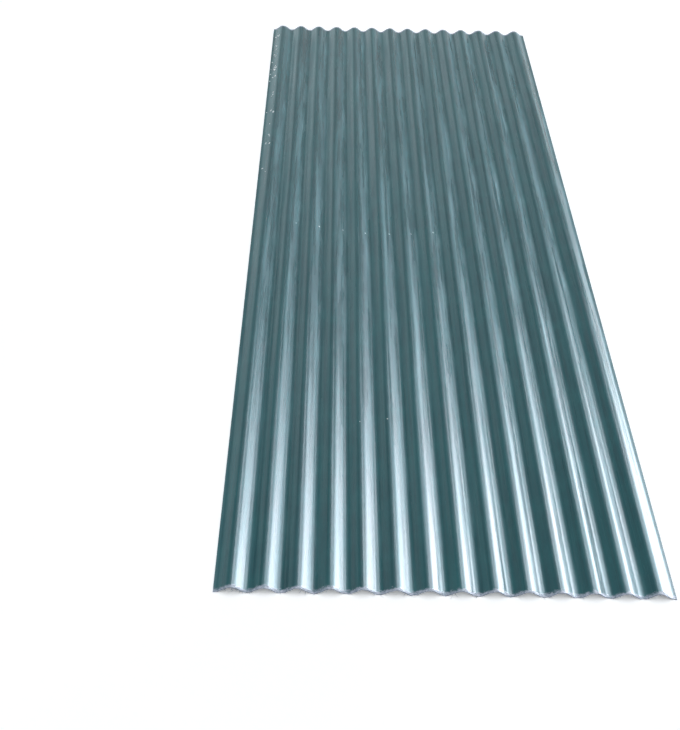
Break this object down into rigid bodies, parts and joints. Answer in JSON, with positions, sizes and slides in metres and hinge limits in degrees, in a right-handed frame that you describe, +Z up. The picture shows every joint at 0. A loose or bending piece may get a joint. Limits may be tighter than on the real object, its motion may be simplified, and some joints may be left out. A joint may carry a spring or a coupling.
{
  "type": "corrugated roofing sheet",
  "caption": "Flat-lying corrugated roofing sheet of tinted translucent glass-fibre laminate, with round waves along its length, plain sawn ends and narrow level side lips.",
  "frame": {"origin": "on the floor under the middle of the sheet, level with the undersides of the troughs", "axes": "+X across the waves, +Y along the waves, +Z up"},
  "size_m": [0.9, 2.4, 0.017],
  "materials": {
    "frp_laminate": "glossy resin surface over tinted, slightly translucent glass-fibre laminate, with pale sawn edges"
  },
  "bodies": {
    "root": {"corrugated_sheet": "frp_laminate"}
  },
  "joints": []
}
